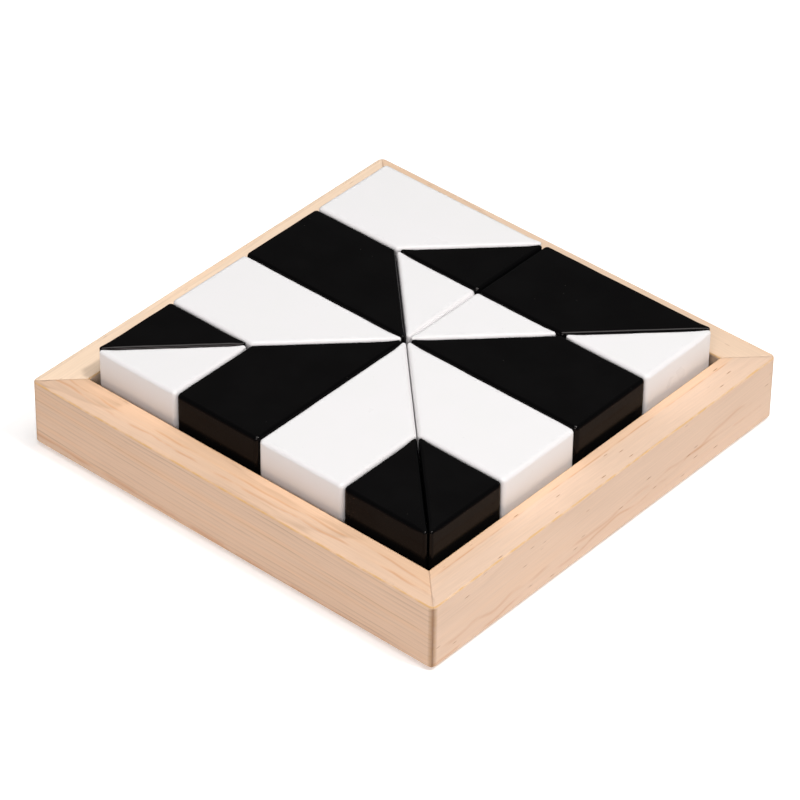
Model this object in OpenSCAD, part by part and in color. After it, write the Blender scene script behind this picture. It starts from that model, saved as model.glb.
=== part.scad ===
// Block puzzle: sixteen loose painted wood blocks standing in a mitred wood tray.
// The origin is on the surface under the middle of the tray, +Z is up, sizes in millimetres.

/* [Blocks] */
// Side of one square cell of the pattern, which sets the outline of every block
cell = 30; // [20:1:45]
// Thickness of a block, from its underside to its top
block_t = 25; // [16:0.5:30]
// Radius that eases the edges and the wider corners of a block
block_r = 1.2; // [0.4:0.1:2]
// Radius that eases the sharp 45 degree tips of a block
tip_r = 0.7; // [0.3:0.1:2]
// Gap between two neighbouring blocks
block_gap = 0.3; // [0.1:0.1:1]

/* [Tray] */
// Width of a rail, seen from above
rail_w = 11.2; // [9:0.5:20]
// Height of a rail, from the surface that the tray stands on to its top
rail_h = 21.5; // [14:0.5:30]
// Play between the set of blocks and the tray's inner wall, on each side
well_play = 1.2; // [0.4:0.1:4]
// Radius that eases the upper edges of a rail
rail_r = 0.5; // [0.3:0.1:2]
// Chamfer along the outer bottom edge of a rail
foot_chamfer = 1.4; // [0.3:0.1:3]
// Radius that eases the tray's four upright corners
corner_r = 1.8; // [0.5:0.1:6]

/* [Base panel] */
// Thickness of the panel that the blocks stand on
panel_t = 4; // [2:0.5:6]
// Height of the panel's underside above the surface that the tray stands on
panel_z = 2.5; // [1:0.5:5]
// Depth of the groove that holds the panel in each rail
groove_d = 4; // [2:0.5:6]
// Play between the panel's edge and the bottom of the groove
groove_play = 0.4; // [0.1:0.1:1]

/* [Hidden] */
$fn = 64;

// The pattern is four cells by four
cells = 4;
block_z = panel_z + panel_t;
well = cells * cell + 2 * well_play;
outer = well + 2 * rail_w;
// A length that reaches past the whole tray, for shapes that are cut down afterwards
reach = 2 * outer;

pine = [0.94, 0.81, 0.66];
plywood = [0.86, 0.73, 0.55];
white_paint = [0.96, 0.95, 0.95];
black_paint = [0.07, 0.07, 0.08];

// The two outlines that every block has, in cells, with a right-angled corner at the origin
triangle = [[0, 0], [1, 0], [0, 1]];
trapezoid = [[0, 0], [2, 0], [1, 1], [0, 1]];

// Name, outline, colour, cell corner that takes the block's right angle, turn about the upright
// axis in degrees, and whether the block is turned over
BLOCKS = [
    ["black_triangle_1", triangle, black_paint, [0, 1], 270, false],
    ["black_triangle_2", triangle, black_paint, [2, 3], 90, false],
    ["black_triangle_3", triangle, black_paint, [4, 1], 180, false],
    ["black_triangle_4", triangle, black_paint, [3, 0], 0, false],
    ["white_triangle_1", triangle, white_paint, [1, 0], 90, false],
    ["white_triangle_2", triangle, white_paint, [2, 3], 180, false],
    ["white_triangle_3", triangle, white_paint, [2, 3], 270, false],
    ["white_triangle_4", triangle, white_paint, [4, 3], 90, false],
    ["black_trapezoid_1", trapezoid, black_paint, [0, 2], 0, false],
    ["black_trapezoid_2", trapezoid, black_paint, [2, 4], 0, true],
    ["black_trapezoid_3", trapezoid, black_paint, [4, 2], 180, true],
    ["black_trapezoid_4", trapezoid, black_paint, [2, 0], 90, false],
    ["white_trapezoid_1", trapezoid, white_paint, [0, 2], 0, true],
    ["white_trapezoid_2", trapezoid, white_paint, [0, 4], 0, true],
    ["white_trapezoid_3", trapezoid, white_paint, [4, 2], 180, false],
    ["white_trapezoid_4", trapezoid, white_paint, [2, 0], 90, true]
];

// Name and turn of each rail
RAILS = [["rail_front", 0], ["rail_right", 90], ["rail_back", 180], ["rail_left", 270]];

// Direction square to the edge from a to b, pointing into an outline that runs anticlockwise
function inward(a, b) = let (edge = (b - a) / norm(b - a)) [-edge[1], edge[0]];

// The inward directions of the two edges that meet at each corner of an outline
function corner_sides(outline) =
    let (n = len(outline))
    [
        for (i = [0 : n - 1])
            [
                inward(outline[(i + n - 1) % n], outline[i]),
                inward(outline[i], outline[(i + 1) % n])
            ]
    ];

// A corner moved inwards by d from both of its edges
function moved_in(corner, sides, d) =
    corner + d * (sides[0] + sides[1]) / (1 + sides[0] * sides[1]);

// An outline moved inwards by d all round
function inset(outline, d) =
    let (sides = corner_sides(outline))
    [for (i = [0 : len(outline) - 1]) moved_in(outline[i], sides[i], d)];

// Flat outline whose corners are arcs: radius tip at corners sharper than a right angle, else r
module rounded_outline(outline, r, tip) {
    sides = corner_sides(outline);
    corners = [0 : len(outline) - 1];
    radii = [for (s = sides) s[0] * s[1] < -0.1 ? tip : r];
    centres = [for (i = corners) moved_in(outline[i], sides[i], radii[i])];
    polygon([for (i = corners) for (side = sides[i]) centres[i] - radii[i] * side]);
    for (i = corners) translate(centres[i]) circle(radii[i]);
}

// Everything on the inner side of one block edge, with that edge's top and bottom eased
module eased_side(a, b) {
    edge = b - a;
    translate(a)
        rotate([90, 0, atan2(edge[1], edge[0]) + 90])
            translate([0, 0, -reach])
                linear_extrude(2 * reach) {
                    square([reach, block_t]);
                    translate([-block_r, block_r]) square([reach, block_t - 2 * block_r]);
                    for (y = [block_r, block_t - block_r]) translate([0, y]) circle(block_r);
                }
}

// A block standing on z = 0: its rounded outline cut by an eased side along each edge
module block(shape) {
    outline = inset(cell * shape, block_gap / 2);
    centres = inset(outline, block_r);
    n = len(centres);
    intersection() {
        linear_extrude(block_t) rounded_outline(outline, block_r, tip_r);
        intersection_for (i = [0 : n - 1]) eased_side(centres[i], centres[(i + 1) % n]);
    }
}

// One of the sixteen blocks in its place on the panel, from its entry in BLOCKS
module placed_block(entry) {
    corner = cell * (entry[3] - [cells / 2, cells / 2]);
    over = entry[5];
    color(entry[2])
        translate([corner[0], corner[1], block_z])
            rotate(entry[4])
                translate([0, 0, over ? block_t : 0])
                    rotate([over ? 180 : 0, 0, 0])
                        block(entry[1]);
}

// Section of a rail, across it and up: eased top, chamfered foot and the panel's groove
module rail_section() {
    difference() {
        intersection() {
            rounded_outline(
                [[0, -rail_w], [rail_w, -rail_w], [rail_w, rail_h], [0, rail_h]],
                rail_r,
                rail_r
            );
            square([rail_w, rail_h]);
        }
        polygon([[0, 0], [foot_chamfer, 0], [0, foot_chamfer]]);
        translate([rail_w - groove_d, panel_z]) square([groove_d, panel_t]);
    }
}

// The tray's plan, as a square with its upright corners eased
module tray_outline() {
    half = outer / 2;
    rounded_outline(
        [[-half, -half], [half, -half], [half, half], [-half, half]],
        corner_r,
        corner_r
    );
}

// The rail along the side that faces -Y, mitred at both ends
module rail() {
    half = outer / 2;
    color(pine)
        intersection() {
            translate([-half, -half, 0]) rotate([90, 0, 90]) linear_extrude(outer) rail_section();
            linear_extrude(rail_h) tray_outline();
            linear_extrude(rail_h) polygon([[-half, -half], [half, -half], [0, 0]]);
        }
}

module base_panel() {
    side = well + 2 * (groove_d - groove_play);
    color(plywood)
        translate([-side / 2, -side / 2, panel_z]) cube([side, side, panel_t]);
}

for (r = RAILS)
    rotate(r[1]) rail();
base_panel();
for (b = BLOCKS)
    placed_block(b);
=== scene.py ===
import math
import bmesh
import bpy
import numpy as np
from mathutils import Matrix, Vector


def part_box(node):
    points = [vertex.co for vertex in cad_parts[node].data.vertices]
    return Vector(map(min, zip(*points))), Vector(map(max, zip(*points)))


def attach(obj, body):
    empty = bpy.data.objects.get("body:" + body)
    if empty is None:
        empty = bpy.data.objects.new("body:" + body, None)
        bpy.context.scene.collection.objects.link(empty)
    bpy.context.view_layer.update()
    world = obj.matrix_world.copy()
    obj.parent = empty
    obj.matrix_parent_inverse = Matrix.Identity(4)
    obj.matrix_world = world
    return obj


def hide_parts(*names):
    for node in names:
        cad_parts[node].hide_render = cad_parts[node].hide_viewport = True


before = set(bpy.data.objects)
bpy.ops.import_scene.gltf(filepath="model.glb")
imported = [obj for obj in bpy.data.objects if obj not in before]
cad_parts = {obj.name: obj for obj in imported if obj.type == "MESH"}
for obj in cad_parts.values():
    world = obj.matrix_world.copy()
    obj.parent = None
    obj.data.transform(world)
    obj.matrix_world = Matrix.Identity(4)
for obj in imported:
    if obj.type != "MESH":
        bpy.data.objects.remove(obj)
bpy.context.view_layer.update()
print("frame loaded:", len(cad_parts), "pieces of the model")

# The sizes that everything below is placed by, in metres, as the frame has them
railLow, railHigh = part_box("rail_front")
panelLow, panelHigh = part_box("base_panel")
blockNames = [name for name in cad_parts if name.split("_")[0] in ("black", "white")]
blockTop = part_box(blockNames[0])[1].z
setHalf = max(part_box(name)[1].x for name in blockNames)
trayHalf = -railLow.y
rimTop = railHigh.z
railWidth = railHigh.y - railLow.y


# What the camera sees from: angles in degrees, lens and sensor in millimetres, the rest in metres
cameraView = {
    "azimuth": 40.67,        # round from the front towards the right
    "elevation": 37.54,
    "roll": 0.73,
    "lens": 199.0,
    "sensor": 36.0,
    "distance": 1.2058,      # from the middle of the block tops
    "asideRight": -0.00169,  # how far the camera stands off, across its view
    "asideUp": -0.01666,
    "clipStart": 0.05,
    "clipEnd": 20,
}


def makeCamera(view):
    az, el, roll = (math.radians(view[label]) for label in ("azimuth", "elevation", "roll"))
    back = Vector((math.sin(az) * math.cos(el), -math.cos(az) * math.cos(el), math.sin(el)))
    level = Vector((math.cos(az), math.sin(az), 0))
    upright = back.cross(level)
    right = level * math.cos(roll) + upright * math.sin(roll)
    up = upright * math.cos(roll) - level * math.sin(roll)
    spot = Vector((0, 0, blockTop)) + back * view["distance"]
    spot += right * view["asideRight"] + up * view["asideUp"]
    data = bpy.data.cameras.new("studioCamera")
    data.lens = view["lens"]
    data.sensor_width = view["sensor"]
    data.clip_start = view["clipStart"]
    data.clip_end = view["clipEnd"]
    camera = bpy.data.objects.new("studioCamera", data)
    camera.matrix_world = Matrix.Translation(spot) @ Matrix((right, up, back)).transposed().to_4x4()
    bpy.context.scene.collection.objects.link(camera)
    bpy.context.scene.camera = camera


makeCamera(cameraView)
print("camera set")


# Short ways to make nodes: a value is either a number or the socket that it comes from
def feed(tree, value, socket):
    if isinstance(value, bpy.types.NodeSocket):
        tree.links.new(value, socket)
    else:
        socket.default_value = value


def addNode(tree, kind, values, **settings):
    made = tree.nodes.new("ShaderNode" + kind)
    for label, setting in settings.items():
        setattr(made, label, setting)
    for label, value in values.items():
        feed(tree, value, made.inputs[label])
    return made


def calc(tree, operation, *values):
    made = addNode(tree, "Math", {}, operation=operation)
    for socket, value in zip(made.inputs, values):
        feed(tree, value, socket)
    return made.outputs[0]


def scaled(tree, vector, steps):
    # the vector, each part divided by a length, so that one unit of noise is that long
    made = addNode(tree, "VectorMath", {}, operation="MULTIPLY")
    feed(tree, vector, made.inputs[0])
    feed(tree, [1 / step for step in steps], made.inputs[1])
    return made.outputs[0]


def between(tree, value, low, high, toLow=0.0, toHigh=1.0):
    values = {"Value": value, "From Min": low, "From Max": high, "To Min": toLow, "To Max": toHigh}
    return addNode(tree, "MapRange", values, interpolation_type="SMOOTHSTEP").outputs["Result"]


def noise(tree, vector, detail=2.0, roughness=0.5):
    values = {"Vector": vector, "Scale": 1.0, "Detail": detail, "Roughness": roughness}
    return addNode(tree, "TexNoise", values).outputs["Fac"]


def blendColours(tree, share, first, second, way="MIX"):
    made = addNode(tree, "Mix", {}, data_type="RGBA", blend_type=way)
    feed(tree, share, made.inputs[0])
    feed(tree, first, made.inputs[6])
    feed(tree, second, made.inputs[7])
    return made.outputs[2]


def mixShaders(tree, share, first, second):
    made = tree.nodes.new("ShaderNodeMixShader")
    for socket, value in zip(made.inputs, (share, first, second)):
        feed(tree, value, socket)
    return made.outputs[0]


def ownField(tree, label, part):
    return addNode(tree, "Attribute", {}, attribute_name=label).outputs[part]


def newGroup(name, inputs, outputs):
    # inputs is a list of name, kind and start value, outputs a list of names of values
    group = bpy.data.node_groups.new(name, "ShaderNodeTree")
    for label, kind, start in inputs:
        socket = group.interface.new_socket(label, in_out="INPUT", socket_type="NodeSocket" + kind)
        if start is not None:
            socket.default_value = start
    for label in outputs:
        group.interface.new_socket(label, in_out="OUTPUT", socket_type="NodeSocketFloat")
    return group, group.nodes.new("NodeGroupInput").outputs, group.nodes.new("NodeGroupOutput").inputs


def useGroup(tree, group, values):
    made = tree.nodes.new("ShaderNodeGroup")
    made.node_tree = group
    for label, value in values.items():
        feed(tree, value, made.inputs[label])
    return made.outputs


# The figure of the wood. A step is how long one unit of noise is along the grain, across it and up, in metres
figureSizes = {
    "bendStep": (0.06, 0.014, 0.014),
    "fadeStep": (0.016, 0.0012, 0.0012),
    "fibreStep": (0.02, 0.0005, 0.0005),
    "streakStep": (0.07, 0.0028, 0.0028),
    "cloudStep": (0.05, 0.016, 0.016),
    "poreStep": (0.011, 0.0016, 0.0016),
    "poreRange": (0.05, 0.13),   # how far from its middle a pore is full, and where it ends
    "lateRise": 4.0,             # power of the darkening through a ring
    "lateEnd": 0.9,              # where in a ring the dark wood starts to end
    "faintestRing": 0.25,
    "fadeRange": (0.35, 0.65),
    "leastFade": 0.35,
}


def makeWoodFigure(sizes):
    # growth rings lie at equal steps of the distance from the pith, sqrt(across^2 + up^2), which slow noise
    # bends; each ring darkens slowly and ends sharply, some more than others, and fades in and out along its
    # length. Fibres and streaks are noise drawn out along the grain, and pores the middles of narrow cells
    group, given, out = newGroup("woodFigure", [
        ("Point", "Vector", None), ("Ring spacing", "Float", 0.002), ("Wander", "Float", 0.002),
    ], ["Ring", "Fibre", "Streak", "Pore", "Cloud"])
    point = given["Point"]
    parts = addNode(group, "SeparateXYZ", {"Vector": point}).outputs
    square = calc(group, "ADD", calc(group, "POWER", calc(group, "ABSOLUTE", parts["Y"]), 2.0),
                  calc(group, "POWER", calc(group, "ABSOLUTE", parts["Z"]), 2.0))
    bend = calc(group, "SUBTRACT", noise(group, scaled(group, point, sizes["bendStep"]), 2.0), 0.5)
    distance = calc(group, "MULTIPLY_ADD", bend, given["Wander"], calc(group, "SQRT", square))
    phase = calc(group, "DIVIDE", distance, given["Ring spacing"])
    part = calc(group, "FRACT", phase)
    rise = calc(group, "POWER", part, sizes["lateRise"])
    fall = between(group, part, sizes["lateEnd"], 1.0, 1.0, 0.0)
    number = calc(group, "FLOOR", phase)
    strength = addNode(group, "TexWhiteNoise", {"W": number}, noise_dimensions="1D").outputs["Value"]
    fade = noise(group, scaled(group, point, sizes["fadeStep"]), 2.0)
    fade = between(group, fade, *sizes["fadeRange"], sizes["leastFade"])
    ring = calc(group, "MULTIPLY", calc(group, "MULTIPLY", rise, fall),
                calc(group, "MULTIPLY_ADD", strength, 1 - sizes["faintestRing"], sizes["faintestRing"]))
    feed(group, calc(group, "MULTIPLY", ring, fade), out["Ring"])
    feed(group, noise(group, scaled(group, point, sizes["fibreStep"]), 3.0, 0.6), out["Fibre"])
    feed(group, noise(group, scaled(group, point, sizes["streakStep"]), 2.0), out["Streak"])
    feed(group, noise(group, scaled(group, point, sizes["cloudStep"]), 1.0), out["Cloud"])
    cells = addNode(group, "TexVoronoi", {"Vector": scaled(group, point, sizes["poreStep"]),
                                          "Scale": 1.0}).outputs["Distance"]
    feed(group, between(group, cells, *sizes["poreRange"], 1.0, 0.0), out["Pore"])
    return group


# The surface of the lacquer, with its steps in metres
skinSizes = {
    "peelStep": 0.0011,
    "waveStep": 0.007,
    "cloudStep": 0.011,
    "dustStep": 0.004,
    "waveHeight": 2.5,       # of the slow wave, where the orange peel's is 1
    "speckCore": 0.5,        # share of a speck that has its full strength
    "cloudRange": (0.3, 0.7),
    "bumpHeight": 0.00002,
    "bumpStrength": 0.5,
}


def makePaintSkin(sizes):
    # sprayed lacquer: fine orange peel over a slower wave, with a few specks of dust where a cell's middle
    # comes near the surface
    group, given, out = newGroup("paintSkin", [("Point", "Vector", None), ("Speck size", "Float", 0.05)],
                                 ["Peel", "Cloud", "Speck"])
    point = given["Point"]
    peel = noise(group, scaled(group, point, [sizes["peelStep"]] * 3), 1.0)
    slow = noise(group, scaled(group, point, [sizes["waveStep"]] * 3), 1.0)
    feed(group, calc(group, "MULTIPLY_ADD", slow, sizes["waveHeight"], peel), out["Peel"])
    feed(group, noise(group, scaled(group, point, [sizes["cloudStep"]] * 3), 3.0), out["Cloud"])
    cells = addNode(group, "TexVoronoi", {"Vector": scaled(group, point, [sizes["dustStep"]] * 3),
                                          "Scale": 1.0}).outputs["Distance"]
    feed(group, between(group, cells, calc(group, "MULTIPLY", given["Speck size"], sizes["speckCore"]),
                        given["Speck size"], 1.0, 0.0), out["Speck"])
    return group


woodFigure = makeWoodFigure(figureSizes)
paintSkin = makePaintSkin(skinSizes)


def newMaterial(name):
    material = bpy.data.materials.new(name)
    material.use_nodes = True
    tree = material.node_tree
    return material, tree, tree.nodes["Principled BSDF"]


def bumpFrom(tree, height, distance, strength):
    return addNode(tree, "Bump", {"Height": height, "Distance": distance, "Strength": strength}).outputs[0]


# Bare softwood of the rails. Each rail is cut from its own place in the log: the pith is given across and up
# from the rail's outer bottom edge, and the run is how far it climbs and moves inwards per metre of rail
railWood = {
    "late": 0.50,            # how dark the late wood of a ring is, as a share of the early wood
    "lateTint": (1.0, 0.9, 0.82, 1),
    "orange": (0.88, 0.50, 0.24, 1),
    "veinTone": (0.60, 0.27, 0.11, 1),
    "poreTone": (0.38, 0.17, 0.08, 1),
    # painted highlight along the rounded edges
    "arrisHighlightTone": (0.70, 0.42, 0.17, 1),
    # dark glued joints, and painted shade next to the blocks and on the bevelled foot
    "seamAndShadeTone": (0.16, 0.065, 0.035, 1),
    "seamAndShadeShare": 0.65,
    "streakRange": (0.48, 0.78),
    "fibreLight": 0.22,      # how much lighter or darker the fibres and the clouds make the wood
    "cloudLight": 0.12,
    # where the painted highlight along the rounded edges shows, in patches
    "arrisHighlightStep": (0.004, 0.002, 0.002),
    "arrisHighlightRange": (0.35, 0.6),
    "arrisHighlightShare": (0.25, 0.9),
    "veinWave": 0.026,       # how long the bends of the first vein are, and what each next one adds
    "veinWaveMore": 0.003,
    "veinFadeStep": (0.013, 0.004, 0.004),
    "veinFade": (0.38, 0.58),
    "veinEdge": 0.0003,      # over which the wood turns orange beyond a vein
    "roughness": 0.46,
    "fibreRough": 0.18,
    "specular": 0.25,
    "fibreHeight": 0.5,      # of the fibres and the rings, where a pore's depth is 1
    "ringHeight": 0.3,
    "bumpHeight": 0.00012,
    "bumpStrength": 0.35,
    # each vein lies at a place measured in from the outer face or up from the table, wanders to and fro and
    # fades in and out; beyond it the wood may be a little more orange
    # innerShade and footShade are painted shade, next to the blocks and on the bevelled foot
    "cuts": {
        "rail_front": {
            "early": (0.77, 0.54, 0.385, 1), "pith": (0.004, -0.062), "run": (0.0, 0.022),
            "spacing": 0.0015, "wander": 0.0035, "ringShare": 1.0, "streakShare": 0.25,
            "poreShare": 0.1, "innerShade": 0.6, "footShade": 0.3,
            "veins": [
                {"axis": "Y", "at": 0.0042, "wander": 0.005, "width": 0.0007, "share": 0.5, "beyond": 0.08},
                {"axis": "Y", "at": 0.0068, "wander": 0.006, "width": 0.0006, "share": 0.45, "beyond": 0.15},
                # a dark grain line low on the outer face, made strong so that the face darkens towards the
                # foot as painted shade
                {"axis": "Z", "at": 0.0022, "wander": 0.0022, "width": 0.0014, "share": 0.4, "beyond": 0.0},
            ]},
        "rail_right": {
            "early": (0.79, 0.575, 0.43, 1), "pith": (-0.070, 0.006), "run": (0.0, -0.045),
            "spacing": 0.0036, "wander": 0.005, "ringShare": 0.2, "streakShare": 0.1,
            "poreShare": 0.8, "innerShade": 0.0, "footShade": 0.06,
            "veins": [
                {"axis": "Y", "at": 0.0083, "wander": 0.0007, "width": 0.0004, "share": 0.6, "beyond": 0.28},
                {"axis": "Z", "at": 0.0055, "wander": 0.010, "width": 0.0007, "share": 0.4, "beyond": 0.0},
                {"axis": "Z", "at": 0.0085, "wander": 0.014, "width": 0.0010, "share": 0.3, "beyond": 0.0},
            ]},
        "rail_back": {
            "early": (0.83, 0.62, 0.455, 1), "pith": (0.012, -0.075), "run": (0.01, -0.018),
            "spacing": 0.0019, "wander": 0.0035, "ringShare": 0.6, "streakShare": 0.2,
            "poreShare": 0.3, "innerShade": 0.2, "footShade": 0.15,
            "veins": [
                {"axis": "Z", "at": 0.0120, "wander": 0.008, "width": 0.0007, "share": 0.35, "beyond": 0.0},
            ]},
        "rail_left": {
            "early": (0.93, 0.72, 0.535, 1), "pith": (-0.050, 0.0), "run": (-0.02, 0.03),
            "spacing": 0.0028, "wander": 0.005, "ringShare": 0.4, "streakShare": 0.15,
            "poreShare": 0.3, "innerShade": 0.3, "footShade": 0.15,
            "veins": [
                {"axis": "Z", "at": 0.0080, "wander": 0.012, "width": 0.0009, "share": 0.3, "beyond": 0.0},
            ]},
    },
}


def addVein(tree, tone, vein, cut, wood, number):
    # a dark line at the vein's place plus slow noise along the rail, with the wood beyond it more orange
    point = ownField(tree, "woodPoint", "Vector")
    place = addNode(tree, "SeparateXYZ", {"Vector": point}).outputs[vein["axis"]]
    start = vein["at"] - cut["pith"]["YZ".index(vein["axis"])]
    waveStep = wood["veinWave"] + wood["veinWaveMore"] * number
    wave = noise(tree, scaled(tree, point, (waveStep, 1.0, 1.0)), 2.0)
    bend = calc(tree, "SUBTRACT", wave, 0.5)
    past = calc(tree, "SUBTRACT", place, calc(tree, "MULTIPLY_ADD", bend, vein["wander"], start))
    line = between(tree, calc(tree, "ABSOLUTE", past), 0.0, vein["width"], 1.0, 0.0)
    fade = noise(tree, scaled(tree, point, wood["veinFadeStep"]), 3.0)
    fade = between(tree, fade, *wood["veinFade"])
    share = calc(tree, "MULTIPLY", calc(tree, "MULTIPLY", line, fade), vein["share"])
    tone = blendColours(tree, share, tone, wood["veinTone"])
    beyond = between(tree, past, -wood["veinEdge"], wood["veinEdge"], 0.0, vein["beyond"])
    return blendColours(tree, beyond, tone, wood["orange"])


def makeRailWood(name, cut, wood):
    material, tree, shader = newMaterial(name)
    figure = useGroup(tree, woodFigure, {"Point": ownField(tree, "woodPoint", "Vector"),
                                         "Ring spacing": cut["spacing"], "Wander": cut["wander"]})
    late = [part * tint * wood["late"] for part, tint in zip(cut["early"], wood["lateTint"])]
    tone = blendColours(tree, calc(tree, "MULTIPLY", figure["Ring"], cut["ringShare"]),
                        cut["early"], late)
    streak = between(tree, figure["Streak"], *wood["streakRange"])
    tone = blendColours(tree, calc(tree, "MULTIPLY", streak, cut["streakShare"]), tone, wood["orange"])
    for number, vein in enumerate(cut["veins"]):
        tone = addVein(tree, tone, vein, cut, wood, number)
    light = calc(tree, "MULTIPLY_ADD", figure["Fibre"], wood["fibreLight"], 1 - wood["fibreLight"] / 2)
    light = calc(tree, "SUBTRACT", light, wood["cloudLight"] / 2)
    light = calc(tree, "MULTIPLY_ADD", figure["Cloud"], wood["cloudLight"], light)
    tone = blendColours(tree, 1.0, tone, light, "MULTIPLY")
    tone = blendColours(tree, calc(tree, "MULTIPLY", figure["Pore"], cut["poreShare"]),
                        tone, wood["poreTone"])
    # painted highlight along the rounded edges, in patches
    patches = noise(tree, scaled(tree, ownField(tree, "woodPoint", "Vector"), wood["arrisHighlightStep"]), 3.0)
    paintedEdgeLight = calc(tree, "MULTIPLY", ownField(tree, "edgeShare", "Fac"),
                between(tree, patches, *wood["arrisHighlightRange"], *wood["arrisHighlightShare"]))
    tone = blendColours(tree, paintedEdgeLight, tone, wood["arrisHighlightTone"])
    # dark glued joints, and painted shade next to the blocks and on the bevelled foot
    tone = blendColours(tree, calc(tree, "MULTIPLY", ownField(tree, "seamAndShadeShare", "Fac"), wood["seamAndShadeShare"]),
                        tone, wood["seamAndShadeTone"])
    feed(tree, tone, shader.inputs["Base Color"])
    feed(tree, calc(tree, "MULTIPLY_ADD", figure["Fibre"], wood["fibreRough"], wood["roughness"]),
         shader.inputs["Roughness"])
    shader.inputs["Specular IOR Level"].default_value = wood["specular"]
    height = calc(tree, "MULTIPLY", figure["Ring"], wood["ringHeight"])
    height = calc(tree, "MULTIPLY_ADD", figure["Fibre"], wood["fibreHeight"], height)
    height = calc(tree, "SUBTRACT", height, figure["Pore"])
    feed(tree, bumpFrom(tree, height, wood["bumpHeight"], wood["bumpStrength"]), shader.inputs["Normal"])
    return material


# Birch plywood of the panel that the blocks stand on
panelPly = {
    "early": (0.74, 0.56, 0.37, 1),
    "late": (0.58, 0.39, 0.22, 1),
    "fleck": (0.40, 0.24, 0.12, 1),
    "glue": (0.26, 0.15, 0.08, 1),
    "plies": 3,
    "logPlace": (0.02, 0.015, 0.012),
    "ringSpacing": 0.0055,
    "ringWander": 0.05,
    "ringShare": 0.55,
    "fleckShare": 0.5,
    "light": 0.88,           # of the wood between the fibres, and how much lighter the fibres are
    "fibreLight": 0.25,
    "glueRange": (0.42, 0.48),   # where a line starts and is full, in plies from a ply's middle
    "edgeRange": (0.3, 0.5),     # keeps the lines off the panel's two faces
    "roughness": 0.5,
    "fibreRough": 0.2,
    "specular": 0.25,
    "bumpHeight": 0.0001,
    "bumpStrength": 0.3,
}


def makePanelPly(ply):
    material, tree, shader = newMaterial("panelPly")
    place = addNode(tree, "TexCoord", {}).outputs["Object"]
    # a peeled veneer shows the rings as wide flames, so the pith lies far below and the rings are bent a lot
    log = addNode(tree, "Mapping", {"Vector": place, "Location": ply["logPlace"]}).outputs[0]
    figure = useGroup(tree, woodFigure, {"Point": log, "Ring spacing": ply["ringSpacing"],
                                         "Wander": ply["ringWander"]})
    rings = calc(tree, "MULTIPLY", figure["Ring"], ply["ringShare"])
    tone = blendColours(tree, rings, ply["early"], ply["late"])
    tone = blendColours(tree, calc(tree, "MULTIPLY", figure["Pore"], ply["fleckShare"]), tone, ply["fleck"])
    light = calc(tree, "MULTIPLY_ADD", figure["Fibre"], ply["fibreLight"], ply["light"])
    tone = blendColours(tree, 1.0, tone, light, "MULTIPLY")
    # the glue lines between the plies show on the panel's edges only
    up = addNode(tree, "SeparateXYZ", {"Vector": place}).outputs["Z"]
    level = calc(tree, "MULTIPLY", calc(tree, "SUBTRACT", up, panelLow.z),
                 ply["plies"] / (panelHigh.z - panelLow.z))
    line = between(tree, calc(tree, "PINGPONG", calc(tree, "ADD", level, 0.5), 0.5), *ply["glueRange"])
    inside = between(tree, calc(tree, "PINGPONG", level, ply["plies"] / 2), *ply["edgeRange"])
    tone = blendColours(tree, calc(tree, "MULTIPLY", line, inside), tone, ply["glue"])
    feed(tree, tone, shader.inputs["Base Color"])
    feed(tree, calc(tree, "MULTIPLY_ADD", figure["Fibre"], ply["fibreRough"], ply["roughness"]),
         shader.inputs["Roughness"])
    shader.inputs["Specular IOR Level"].default_value = ply["specular"]
    bump = bumpFrom(tree, figure["Fibre"], ply["bumpHeight"], ply["bumpStrength"])
    feed(tree, bump, shader.inputs["Normal"])
    return material


# The two lacquers: colour, gloss, how far the grain below shows, and the painted shade that darkens the
# rounded edges
lacquers = {
    "black": {"colour": (0.0037, 0.0036, 0.0037, 1), "cloudColour": (0.0046, 0.0045, 0.0046, 1),
              "edge": (0.0008, 0.0008, 0.0010, 1), "edgeShare": 0.95, "speck": (0.06, 0.055, 0.05, 1),
              "speckSize": 0.03, "roughness": 0.10, "roughSpread": 0.05, "specular": 0.05, "edgeCoat": 0.35,
              "gloss": (1.0, 0.70, 0.60, 1), "grain": 0.5, "ringSpacing": 0.0024, "ringWander": 0.0012},
    "white": {"colour": (0.87, 0.86, 0.865, 1), "cloudColour": (0.86, 0.855, 0.855, 1),
              "edge": (0.80, 0.77, 0.765, 1), "edgeShare": 0.5, "speck": (0.50, 0.46, 0.43, 1),
              "speckSize": 0.022, "roughness": 0.3, "roughSpread": 0.12, "specular": 0.28, "edgeCoat": 0.16,
              "gloss": (1.0, 1.0, 1.0, 1), "grain": 0.5, "ringSpacing": 0.0024, "ringWander": 0.0012},
}


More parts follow.
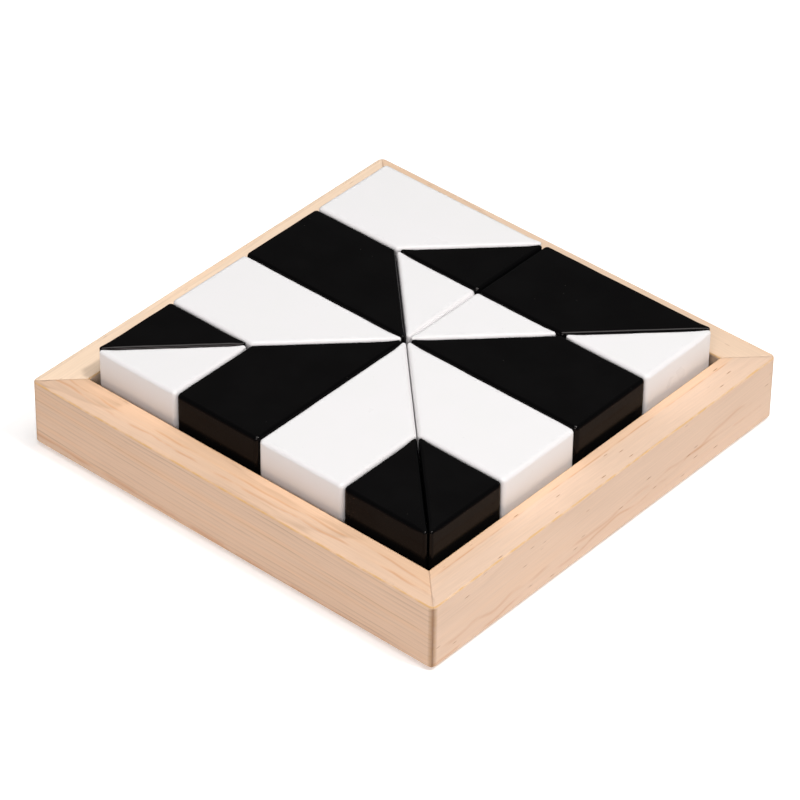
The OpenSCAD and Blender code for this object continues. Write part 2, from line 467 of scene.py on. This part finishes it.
def makeLacquer(name, lacquer, sizes):
    material, tree, shader = newMaterial(name + "Lacquer")
    point = ownField(tree, "woodPoint", "Vector")
    skin = useGroup(tree, paintSkin, {"Point": point, "Speck size": lacquer["speckSize"]})
    below = useGroup(tree, woodFigure, {"Point": point, "Ring spacing": lacquer["ringSpacing"],
                                        "Wander": lacquer["ringWander"]})
    cloud = between(tree, skin["Cloud"], *sizes["cloudRange"])
    tone = blendColours(tree, cloud, lacquer["colour"], lacquer["cloudColour"])
    # painted shade: the rounded edges are darker
    paintedEdgeLight = calc(tree, "MULTIPLY", ownField(tree, "edgeShare", "Fac"), lacquer["edgeShare"])
    tone = blendColours(tree, paintedEdgeLight, tone, lacquer["edge"])
    tone = blendColours(tree, skin["Speck"], tone, lacquer["speck"])
    feed(tree, tone, shader.inputs["Base Color"])
    feed(tree, calc(tree, "MULTIPLY_ADD", skin["Cloud"], lacquer["roughSpread"],
                    lacquer["roughness"] - lacquer["roughSpread"] / 2), shader.inputs["Roughness"])
    shader.inputs["Specular IOR Level"].default_value = lacquer["specular"]
    shader.inputs["Specular Tint"].default_value = lacquer["gloss"]
    # the lacquer is rounder and thicker over the edges, and shines there
    feed(tree, calc(tree, "MULTIPLY", ownField(tree, "edgeShare", "Fac"), lacquer["edgeCoat"]),
         shader.inputs["Coat Weight"])
    shader.inputs["Coat Roughness"].default_value = lacquer["roughness"]
    grain = calc(tree, "MULTIPLY", calc(tree, "ADD", below["Fibre"], below["Ring"]), lacquer["grain"])
    height = calc(tree, "ADD", grain, calc(tree, "ADD", skin["Peel"], skin["Speck"]))
    feed(tree, bumpFrom(tree, height, sizes["bumpHeight"], sizes["bumpStrength"]), shader.inputs["Normal"])
    return material


railMaterials = {name: makeRailWood(name + "_wood", cut, railWood) for name, cut in railWood["cuts"].items()}
panelMaterial = makePanelPly(panelPly)
lacquerMaterials = {name: makeLacquer(name, lacquer, skinSizes) for name, lacquer in lacquers.items()}
print("materials made:", len(bpy.data.materials))


weldDistance = 2e-6  # metres


def putMesh(name, points, faces, fields):
    # points is an array of n x 3, faces a list of index rings, fields a value or a vector for every point;
    # points that fall together, as at a pole, become one
    mesh = bpy.data.meshes.new(name)
    mesh.from_pydata(points.tolist(), [], faces)
    for label, values in fields.items():
        kind, key = ("FLOAT_VECTOR", "vector") if values.ndim == 2 else ("FLOAT", "value")
        layer = mesh.attributes.new(label, kind, "POINT")
        layer.data.foreach_set(key, values.astype(np.float32).ravel())
    work = bmesh.new()
    work.from_mesh(mesh)
    bmesh.ops.remove_doubles(work, verts=work.verts, dist=weldDistance)
    work.to_mesh(mesh)
    work.free()
    mesh.polygons.foreach_set("use_smooth", [True] * len(mesh.polygons))
    mesh.update()
    piece = bpy.data.objects.new(name, mesh)
    bpy.context.scene.collection.objects.link(piece)
    return piece


def bandFaces(columns, rows, wrapColumns, wrapRows):
    # the quads of a grid whose point (i, j) has the index i x rows + j
    i = np.arange(columns if wrapColumns else columns - 1)[:, None]
    j = np.arange(rows if wrapRows else rows - 1)[None, :]
    nextI = (i + 1) % columns * rows
    nextJ = (j + 1) % rows
    ring = np.stack([i * rows + j, i * rows + nextJ, nextI + nextJ, nextI + j], -1)
    return ring.reshape(-1, 4).tolist()


def ripple(share, counts, seed):
    # from 0 to 1 round a closed path: the mean of sines with whole numbers of waves and seeded starts
    starts = np.random.default_rng(seed).random(len(counts))
    waves = [np.sin(2 * np.pi * (share * count + start)) for count, start in zip(counts, starts)]
    return 0.5 + 0.5 * np.mean(waves, axis=0)


def insetOutline(outline, distance):
    # each corner moves in by distance x (a + b) / (1 + a . b), where a and b are its sides' inward normals
    side = np.roll(outline, -1, 0) - outline
    side = side / np.linalg.norm(side, axis=1)[:, None]
    after = np.stack([-side[:, 1], side[:, 0]], 1)
    before = np.roll(after, 1, 0)
    share = (before + after) / (1 + (before * after).sum(1))[:, None]
    return outline + np.broadcast_to(distance, len(outline))[:, None] * share, -before, -after


def angleOf(way):
    return math.atan2(way[1], way[0])


# The painted blocks, in metres
blockShape = {
    "gap": 0.0003,           # between neighbours
    "edgeRadius": 0.00125,
    "cornerRadius": 0.0014,  # of the upright corners
    "tipRadius": 0.0007,     # of the corners sharper than a right angle
    "radiusSpread": 0.16,    # share of the radius by which the sanding varies
    "edgeSteps": 8,
    "cornerSteps": 9,
    "support": 0.0003,       # the ring beside a rounded edge that keeps the flat face flat
    "alongStep": 0.002,
    "sideRows": 4,
    "tipLean": -0.1,         # cosine of the turn at a corner, below which it counts as a tip
    "cornerShare": 0.95,     # the most that an edge's radius may be, as a share of the corner's
    "roomShare": 0.85,       # and of the room beside a tip
    "rippleWaves": (5, 8, 13),
    "cornerEdgeShare": 0.5,       # edge mask of the upright corners, for the painted edge shade and the coat, where the edges' is 1
    "logStep": (0.11, 0.07, 0.05),   # from one block's place in the board to the next one's
}

# The corners of the outline that each block covers, in cells from the tray's front left, anticlockwise
blockCells = {
    "black_triangle_1": [(0, 1), (0, 0), (1, 1)],
    "black_triangle_2": [(2, 3), (2, 4), (1, 3)],
    "black_triangle_3": [(4, 1), (3, 1), (4, 0)],
    "black_triangle_4": [(3, 0), (4, 0), (3, 1)],
    "white_triangle_1": [(1, 0), (1, 1), (0, 0)],
    "white_triangle_2": [(2, 3), (1, 3), (2, 2)],
    "white_triangle_3": [(2, 3), (2, 2), (3, 3)],
    "white_triangle_4": [(4, 3), (4, 4), (3, 3)],
    "black_trapezoid_1": [(0, 2), (2, 2), (1, 3), (0, 3)],
    "black_trapezoid_2": [(2, 4), (2, 3), (3, 3), (4, 4)],
    "black_trapezoid_3": [(4, 2), (4, 3), (3, 3), (2, 2)],
    "black_trapezoid_4": [(2, 0), (2, 2), (1, 1), (1, 0)],
    "white_trapezoid_1": [(0, 2), (0, 1), (1, 1), (2, 2)],
    "white_trapezoid_2": [(0, 4), (0, 3), (1, 3), (2, 4)],
    "white_trapezoid_3": [(4, 2), (2, 2), (3, 1), (4, 1)],
    "white_trapezoid_4": [(2, 0), (3, 0), (3, 1), (2, 2)],
}
cellsAcross = 4
cellSize = (2 * setHalf + blockShape["gap"]) / cellsAcross


def blockPath(cells, shape):
    # the columns round a block: places on its rim, outward ways, places on the cap ring, the radius of the
    # edge above and below, and how far round a corner each is. Round a corner the rim is centre + radius x
    # way; along a side it runs straight, and the edge's radius narrows towards a tip so that the two edges
    # that meet there stay apart: it is at most distance to the corner x tan(half its angle)
    outline, before, after = insetOutline(cells, shape["gap"] / 2)
    lean = (before * after).sum(1)
    halfTan = np.sqrt((1 + lean) / (1 - lean))
    radii = np.where(lean < shape["tipLean"], shape["tipRadius"], shape["cornerRadius"])
    centres = insetOutline(outline, radii)[0]
    edges = np.minimum(shape["edgeRadius"], shape["cornerShare"] * radii)
    capCorners = insetOutline(outline, edges + shape["support"])[0]
    capStarts = (edges + shape["support"]) / halfTan
    found = []
    for k in range(len(outline)):
        last = (k + 1) % len(outline)
        start = angleOf(before[k])
        turn = (angleOf(after[k]) - start) % (2 * math.pi)
        angle = start + turn * np.linspace(0, 1, shape["cornerSteps"] + 1)[:, None]
        way = np.concatenate([np.cos(angle), np.sin(angle)], 1)
        found.append((centres[k] + radii[k] * way, way, capCorners[k] + 0 * way,
                      edges[k] + 0 * angle, np.sin(np.pi * (angle - start) / turn)))
        run = outline[last] - outline[k]
        length = np.linalg.norm(run)
        run = run / length
        first = radii[k] / halfTan[k]
        final = length - radii[last] / halfTan[last]
        count = int((final - first) / shape["alongStep"]) + 2
        along = np.concatenate([[first + shape["support"]], np.linspace(first, final, count)[1:-1],
                                [final - shape["support"]]])[:, None]
        radius = np.full_like(along, shape["edgeRadius"])
        for end, distance in ((k, along), (last, length - along)):
            room = shape["roomShare"] * distance * halfTan[end] - shape["support"]
            radius = np.minimum(radius, np.maximum(edges[end], room))
        rim = outline[k] + along * run
        cap = rim - (radius + shape["support"]) * after[k]
        cap = np.where(along < capStarts[k], capCorners[k], cap)
        cap = np.where(length - along < capStarts[last], capCorners[last], cap)
        found.append((rim, after[k] + 0 * rim, cap, radius, 0 * along))
    return tuple(np.concatenate(rows) for rows in zip(*found))


def makeBlock(name, shape):
    low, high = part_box(name)
    seed = list(blockCells).index(name)
    cells = (np.array(blockCells[name], float) - cellsAcross / 2) * cellSize
    rim, way, cap, radius, bend = blockPath(cells, shape)
    steps = np.linalg.norm(np.roll(rim, -1, 0) - rim, axis=1)
    share = np.concatenate([[0], np.cumsum(steps)[:-1]]) / steps.sum()
    # over the edge, at a tilt from 0 to 90 degrees, a point lies r (1 - sin tilt) in from the rim and
    # r (1 - cos tilt) from the top or the underside, where r is the sanded radius at that column
    tilt = np.linspace(0, np.pi / 2, shape["edgeSteps"] + 1)[None, :]
    ins, drops = [], []
    for end in (0, 1):
        sanded = shape["radiusSpread"] * ripple(share, shape["rippleWaves"], 2 * seed + end)[:, None]
        r = radius * (1 - sanded)
        ins.append(np.concatenate([r * (1 - np.sin(tilt)), 0 * r], 1))
        drops.append(np.concatenate([r * (1 - np.cos(tilt)), r + shape["support"]], 1))
    part = np.linspace(0, 1, shape["sideRows"] + 2)[None, 1:-1]
    upper = high.z - drops[0][:, -1:]
    lower = low.z + drops[1][:, -1:]
    z = np.concatenate([high.z + 0 * upper, high.z - drops[0], upper + (lower - upper) * part,
                        low.z + drops[1][:, ::-1], low.z + 0 * lower], 1)
    inwards = np.concatenate([ins[0], 0 * (upper + part), ins[1][:, ::-1]], 1)
    plan = rim[:, None, :] - inwards[:, :, None] * way[:, None, :]
    plan = np.concatenate([cap[:, None], plan, cap[:, None]], 1)
    points = np.concatenate([plan, z[:, :, None]], 2).reshape(-1, 3)
    columns, rows = z.shape
    faces = bandFaces(columns, rows, True, False)
    faces.append([i * rows for i in range(columns)])
    faces.append([i * rows + rows - 1 for i in reversed(range(columns))])
    # mask over the rounded edges, which carries the lacquer's painted edge shade and its coat
    paintedEdgeLight = np.concatenate([[0], np.sin(2 * tilt[0]), [0]])
    edge = np.concatenate([paintedEdgeLight, np.zeros(shape["sideRows"]), paintedEdgeLight[::-1]])
    side = (edge < 0.01)[None, :]
    upright = shape["cornerEdgeShare"] * bend * side
    edge = np.maximum(np.repeat(edge[None, :], columns, 0), upright)
    edge[:, [0, -1]] = 0
    # the grain runs along one side of the block, and each block is cut from its own place in the board
    turn = math.pi / 2 * (seed % 2)
    grain = np.stack([points[:, 0] * math.cos(turn) + points[:, 1] * math.sin(turn),
                      points[:, 1] * math.cos(turn) - points[:, 0] * math.sin(turn),
                      points[:, 2]], -1) + (seed + 1) * np.array(shape["logStep"])
    return putMesh("block_" + name, points, faces, {"woodPoint": grain, "edgeShare": edge.ravel()})


for name in blockCells:
    block = makeBlock(name, blockShape)
    colour = name.split("_")[0]
    block.data.materials.append(lacquerMaterials[colour])
    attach(block, name)
    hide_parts(name)
print("blocks made:", len(blockCells))


# The rails of the tray, in metres
railShape = {
    "topRadius": 0.0005,
    "footChamfer": 0.0014,
    "footRadius": 0.0004,
    "cornerRadius": 0.0018,   # of the tray's upright corners
    "grooveDepth": 0.0044,
    "arcSteps": 6,
    "support": 0.00025,
    "glueLine": 0.00003,      # how far each mitred end is held back
    "mitreBand": 0.0004,      # width of the end where glue has darkened the wood
    "hiddenSeam": 0.12,       # how much of that shows at a joint that is well closed
    "columns": 49,
    "alongStep": 0.004,       # between the lines of a flat face
    "uprightHighlight": 0.6,       # painted highlight of the tray's upright corners, where the edges' is 1
    "footShadeHeight": 0.8,          # share of the bevel's height that gets painted shade
    "logStep": 0.5,           # from one rail's place in the log to the next one's
}


def railProfile(shape):
    # the rail's section, as distances in from its outer face and up, anticlockwise from the foot; every
    # corner with a radius is an arc, centre + r x way, and the flats between arcs run straight
    foot, groove = shape["footChamfer"], railWidth - shape["grooveDepth"]
    corners = np.array([(foot, 0), (railWidth, 0), (railWidth, panelLow.z), (groove, panelLow.z),
                        (groove, panelHigh.z), (railWidth, panelHigh.z), (railWidth, rimTop),
                        (0, rimTop), (0, foot)])
    small, large = shape["footRadius"], shape["topRadius"]
    radii = np.array([small, small, small, 0, 0, small, large, large, small])
    centres, before, after = insetOutline(corners, radii)
    points, bends = [], []
    for k in range(len(corners)):
        start = angleOf(before[k])
        turn = (angleOf(after[k]) - start) % (2 * math.pi)
        angle = start + turn * np.linspace(0, 1, shape["arcSteps"] + 1)
        if radii[k] == 0:
            angle = angle[:1]
        points.append(centres[k] + radii[k] * np.stack([np.cos(angle), np.sin(angle)], 1))
        bends.append(np.sin(np.linspace(0, np.pi, len(angle))) * (radii[k] > 0))
        last = (k + 1) % len(corners)
        run = centres[last] + radii[last] * after[k] - points[-1][-1]
        length = np.linalg.norm(run)
        count = int(length / shape["alongStep"]) + 2
        along = np.concatenate([[shape["support"]], np.linspace(0, length, count)[1:-1],
                                [length - shape["support"]]])
        along = along[(along > 0) & (along < length)]
        along.sort()
        points.append(points[-1][-1] + along[:, None] * run / length)
        bends.append(np.zeros(len(along)))
    return np.concatenate(points), np.concatenate(bends)


def makeRail(name, quarter, shape, cut):
    # the section is carried along the tray's side and round half of the corner at each end. A line that lies
    # w in from the outer face runs to half - max(corner radius, w), and then turns by 45 degrees about that
    # point on a radius of max(corner radius - w, 0), to end on the mitre
    profile, bends = railProfile(shape)
    inset, up = profile[:, 0], profile[:, 1]
    corner = shape["cornerRadius"]
    reach = trayHalf - np.maximum(corner, inset)
    radius = np.maximum(corner - inset, 0)
    end = reach - shape["glueLine"]
    straight = np.linspace(-1, 1, shape["columns"])[:, None] * (end - shape["mitreBand"])[None, :]
    angle = np.linspace(0, np.pi / 4, shape["arcSteps"] + 1)[:, None]
    arcX = end + radius * np.sin(angle)
    arcY = -reach - radius * np.cos(angle)
    x = np.concatenate([-arcX[::-1], straight, arcX])
    y = np.concatenate([arcY[::-1], np.repeat((inset - trayHalf)[None, :], len(straight), 0), arcY])
    z = np.repeat(up[None, :], len(x), 0)
    turned = angle * 4 / np.pi
    seamAndShade = np.where(radius > 0, turned, 0 * turned + 1)
    seamAndShade = np.concatenate([seamAndShade[::-1], 0 * straight, seamAndShade])
    # the joint at the front corner has opened a little, and the others are closed
    openEnd = {0: 1, 1: -1}.get(quarter, 0)
    outer = radius > 0.9 * corner  # the lines of the outer face
    onFace = outer & (up < rimTop - shape["topRadius"])
    seamAndShade = seamAndShade * np.where((np.sign(x) == openEnd) & onFace[None, :], 1, shape["hiddenSeam"])
    # painted shade darkens the rounded edge next to the blocks and the bevelled foot
    inner = bends * (inset > railWidth / 2) * (up > rimTop / 2)
    foot = (inset < shape["footChamfer"]) & (up < shape["footShadeHeight"] * shape["footChamfer"])
    seamAndShade = np.maximum(seamAndShade, np.maximum(cut["innerShade"] * inner, cut["footShade"] * foot)[None, :])
    # the rounded edges' mask, which carries the painted highlight
    upright = np.concatenate([turned[::-1], 0 * straight[:, :1], turned]) * outer
    edge = np.maximum(np.repeat(bends[None, :], len(x), 0), shape["uprightHighlight"] * upright)
    # where the point lies in the log, from the pith
    across = y + trayHalf - cut["pith"][0] + cut["run"][0] * x
    climb = z - cut["pith"][1] + cut["run"][1] * x
    wood = np.stack([x + shape["logStep"] * quarter, across, climb], -1).reshape(-1, 3)
    turn = quarter * math.pi / 2
    points = np.stack([x * math.cos(turn) - y * math.sin(turn),
                       x * math.sin(turn) + y * math.cos(turn), z], -1).reshape(-1, 3)
    rows, columns = len(up), len(x)
    faces = bandFaces(columns, rows, False, True)
    faces.append(list(reversed(range(rows))))
    faces.append([(columns - 1) * rows + j for j in range(rows)])
    fields = {"woodPoint": wood, "edgeShare": edge.ravel(), "seamAndShadeShare": seamAndShade.ravel()}
    return putMesh(name + "_wooden", points, faces, fields)


for quarter, name in enumerate(railWood["cuts"]):
    rail = makeRail(name, quarter, railShape, railWood["cuts"][name])
    rail.data.materials.append(railMaterials[name])
    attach(rail, "tray")
    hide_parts(name)
print("rails made:", len(railWood["cuts"]))

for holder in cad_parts["base_panel"].material_slots:
    holder.material = panelMaterial


# The studio: directions point from the object to the light, sizes are in metres and power in watts
studio = {
    "floorHalf": 3.0,
    "floorLines": 9,
    "floorDrop": 0.0001,                     # below the surface that the tray stands on
    "paperStep": 0.003,
    "paperTone": 0.89,
    "paperSpread": 0.02,
    "paperRoughness": 0.9,
    "floorGlow": 0.2,
    "floorSeenGlow": 0.12,                   # added for the camera alone, so that the paper looks white
    "floorInGloss": (0.22, 0.13, 0.10, 1),   # the floor as the lacquer mirrors it, dimmed as by a dark room
    "roomGlow": 0.09,
    "backdrop": 0.95,                        # the room as the camera sees it, past the floor's far edge
    "lights": {
        "keyLight": {"way": (0.47, 0.093, 0.878), "distance": 1.6, "size": 0.2, "power": 10.3,
                     "colour": (1.0, 0.985, 0.97)},
        "frontFill": {"way": (0.45, -0.72, 0.52), "distance": 1.8, "size": 0.9, "power": 10.0,
                      "colour": (1.0, 0.94, 0.945)},
        "topFill": {"way": (0.1, -0.05, 1.0), "distance": 1.7, "size": 1.1, "power": 15.1,
                    "colour": (1.0, 1.0, 1.0)},
    },
}


def makeFloor(plan):
    # a flat square grid
    half = plan["floorHalf"]
    edge = np.linspace(-half, half, plan["floorLines"])
    x, y = np.meshgrid(edge, edge, indexing="ij")
    points = np.stack([x, y, 0 * x - plan["floorDrop"]], -1).reshape(-1, 3)
    faces = [ring[::-1] for ring in bandFaces(len(edge), len(edge), False, False)]
    floor = putMesh("studioFloor", points, faces, {})
    material, tree, shader = newMaterial("floorPaper")
    place = addNode(tree, "TexCoord", {}).outputs["Object"]
    paper = noise(tree, scaled(tree, place, [plan["paperStep"]] * 3), 3.0)
    tone = calc(tree, "MULTIPLY_ADD", paper, plan["paperSpread"], plan["paperTone"])
    feed(tree, blendColours(tree, 1.0, (1, 1, 1, 1), tone, "MULTIPLY"), shader.inputs["Base Color"])
    shader.inputs["Roughness"].default_value = plan["paperRoughness"]
    shader.inputs["Specular IOR Level"].default_value = 0.0
    shader.inputs["Emission Color"].default_value = (1, 1, 1, 1)
    rays = addNode(tree, "LightPath", {}).outputs
    feed(tree, calc(tree, "MULTIPLY_ADD", rays["Is Camera Ray"], plan["floorSeenGlow"], plan["floorGlow"]),
         shader.inputs["Emission Strength"])
    # mirrored in the lacquer the floor is dim, and from below it can be looked through
    dim = addNode(tree, "Emission", {"Color": plan["floorInGloss"]}).outputs[0]
    clear = addNode(tree, "BsdfTransparent", {}).outputs[0]
    seen = mixShaders(tree, rays["Is Glossy Ray"], shader.outputs[0], dim)
    seen = mixShaders(tree, addNode(tree, "NewGeometry", {}).outputs["Backfacing"], seen, clear)
    feed(tree, seen, tree.nodes["Material Output"].inputs["Surface"])
    floor.data.materials.append(material)


def makeLights(plan):
    for name, light in plan["lights"].items():
        data = bpy.data.lights.new(name, "AREA")
        data.shape = "DISK"
        data.size = light["size"]
        data.energy = light["power"]
        data.color = light["colour"]
        lamp = bpy.data.objects.new(name, data)
        way = Vector(light["way"]).normalized()
        turn = way.to_track_quat("Z", "Y").to_matrix().to_4x4()
        lamp.matrix_world = Matrix.Translation(way * light["distance"]) @ turn
        bpy.context.scene.collection.objects.link(lamp)


def makeRoom(plan):
    # the room is dim for the lacquer to reflect, and pale behind the floor's far edge
    world = bpy.data.worlds.new("studioRoom")
    world.use_nodes = True
    tree = world.node_tree
    seen = addNode(tree, "LightPath", {}).outputs["Is Camera Ray"]
    dim = [plan["roomGlow"]] * 3 + [1]
    pale = [plan["backdrop"]] * 3 + [1]
    tone = blendColours(tree, seen, dim, pale)
    feed(tree, tone, tree.nodes["Background"].inputs["Color"])
    bpy.context.scene.world = world


makeFloor(studio)
makeLights(studio)
makeRoom(studio)
bpy.context.scene.view_settings.view_transform = "Standard"
print("studio set")
